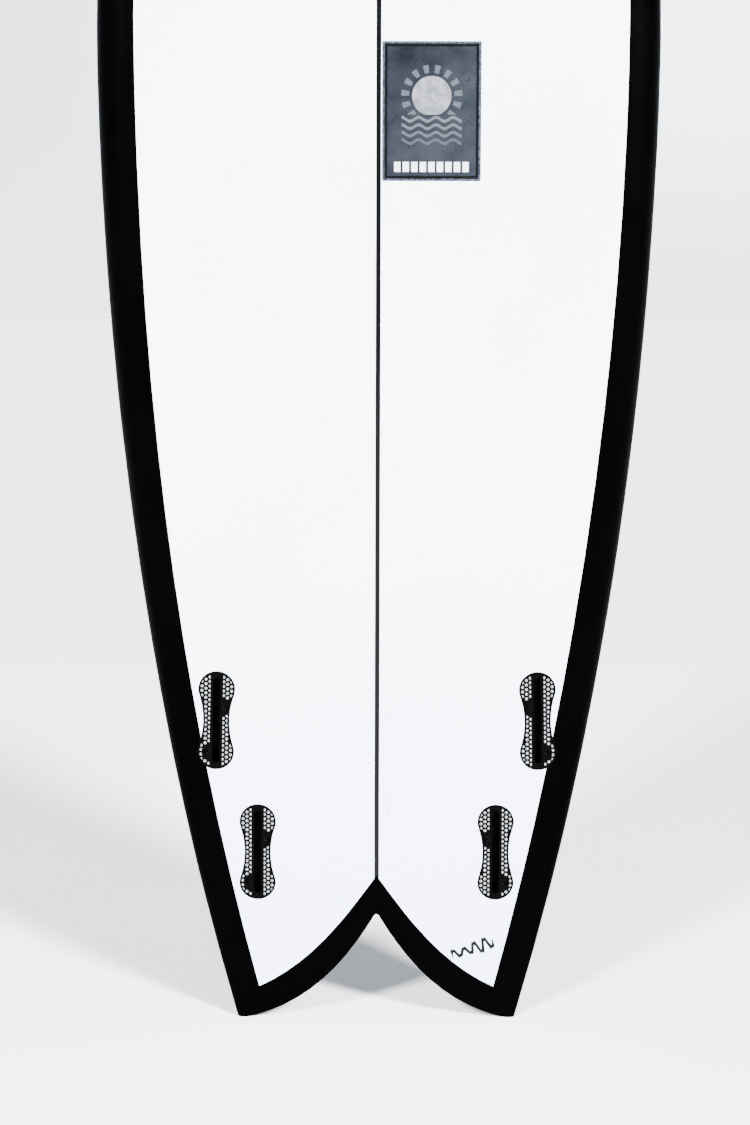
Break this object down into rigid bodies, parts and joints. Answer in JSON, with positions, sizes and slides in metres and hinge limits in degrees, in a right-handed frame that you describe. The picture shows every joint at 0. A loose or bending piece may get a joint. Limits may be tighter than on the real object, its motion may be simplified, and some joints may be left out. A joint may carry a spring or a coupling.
{
  "type": "surfboard",
  "caption": "Swallow-tail fish surfboard with a clear bottom, dark wrapped rails, stringer and honeycomb fin plugs with clamping screws.",
  "frame": {"origin": "on the ground under the middle of the board's bounding box, which stands on its two tail tips", "axes": "+Z from the tail tips to the nose, +Y from the bottom towards the deck, X across the board"},
  "size_m": [0.546, 0.127, 1.778],
  "materials": {
    "foam": "fine closed-cell foam",
    "stringer": "dark stained strip",
    "black_laminate": "tinted resin, gloss",
    "clear_laminate": "clear resin over white foam, gloss",
    "tip_resin": "poured tinted resin, gloss",
    "decal": "printed rice paper under resin",
    "plug_plastic": "moulded nylon",
    "bed_resin": "white filled resin",
    "screw_steel": "stainless steel"
  },
  "bodies": {
    "board": {"foam_core_left": "foam", "foam_core_right": "foam", "stringer": "stringer", "deck_laminate": "black_laminate", "bottom_laminate": "clear_laminate", "paper_decal": "decal", "tail_tip_left": "tip_resin", "tail_tip_right": "tip_resin", "leash_cup": "plug_plastic", "leash_cup_bed": "bed_resin", "leash_pin": "screw_steel", "fin_plug_front_right": "plug_plastic", "plug_bed_front_right": "bed_resin", "fin_plug_front_left": "plug_plastic", "plug_bed_front_left": "bed_resin", "fin_plug_rear_right": "plug_plastic", "plug_bed_rear_right": "bed_resin", "fin_plug_rear_left": "plug_plastic", "plug_bed_rear_left": "bed_resin"},
    "grub_screw_front_upper_right": {"grub_screw_front_upper_right": "screw_steel"},
    "grub_screw_front_lower_right": {"grub_screw_front_lower_right": "screw_steel"},
    "grub_screw_front_upper_left": {"grub_screw_front_upper_left": "screw_steel"},
    "grub_screw_front_lower_left": {"grub_screw_front_lower_left": "screw_steel"},
    "grub_screw_rear_upper_right": {"grub_screw_rear_upper_right": "screw_steel"},
    "grub_screw_rear_lower_right": {"grub_screw_rear_lower_right": "screw_steel"},
    "grub_screw_rear_upper_left": {"grub_screw_rear_upper_left": "screw_steel"},
    "grub_screw_rear_lower_left": {"grub_screw_rear_lower_left": "screw_steel"}
  },
  "joints": [
    {"name": "grub_screw_front_upper_right_travel", "type": "slide", "parent": "board", "child": "grub_screw_front_upper_right", "axis": [0.4998, 0.8633, 0.0705], "range_m": [0, 0.0024]},
    {"name": "grub_screw_front_lower_right_travel", "type": "slide", "parent": "board", "child": "grub_screw_front_lower_right", "axis": [-0.4998, 0.8651, 0.0427], "range_m": [0, 0.0024]},
    {"name": "grub_screw_front_upper_left_travel", "type": "slide", "parent": "board", "child": "grub_screw_front_upper_left", "axis": [-0.4998, 0.8633, 0.0705], "range_m": [0, 0.0024]},
    {"name": "grub_screw_front_lower_left_travel", "type": "slide", "parent": "board", "child": "grub_screw_front_lower_left", "axis": [0.4998, 0.8651, 0.0427], "range_m": [0, 0.0024]},
    {"name": "grub_screw_rear_upper_right_travel", "type": "slide", "parent": "board", "child": "grub_screw_rear_upper_right", "axis": [0.5, 0.8625, 0.0784], "range_m": [0, 0.0024]},
    {"name": "grub_screw_rear_lower_right_travel", "type": "slide", "parent": "board", "child": "grub_screw_rear_lower_right", "axis": [-0.5, 0.8634, 0.068], "range_m": [0, 0.0024]},
    {"name": "grub_screw_rear_upper_left_travel", "type": "slide", "parent": "board", "child": "grub_screw_rear_upper_left", "axis": [-0.5, 0.8625, 0.0784], "range_m": [0, 0.0024]},
    {"name": "grub_screw_rear_lower_left_travel", "type": "slide", "parent": "board", "child": "grub_screw_rear_lower_left", "axis": [0.5, 0.8634, 0.068], "range_m": [0, 0.0024]}
  ]
}
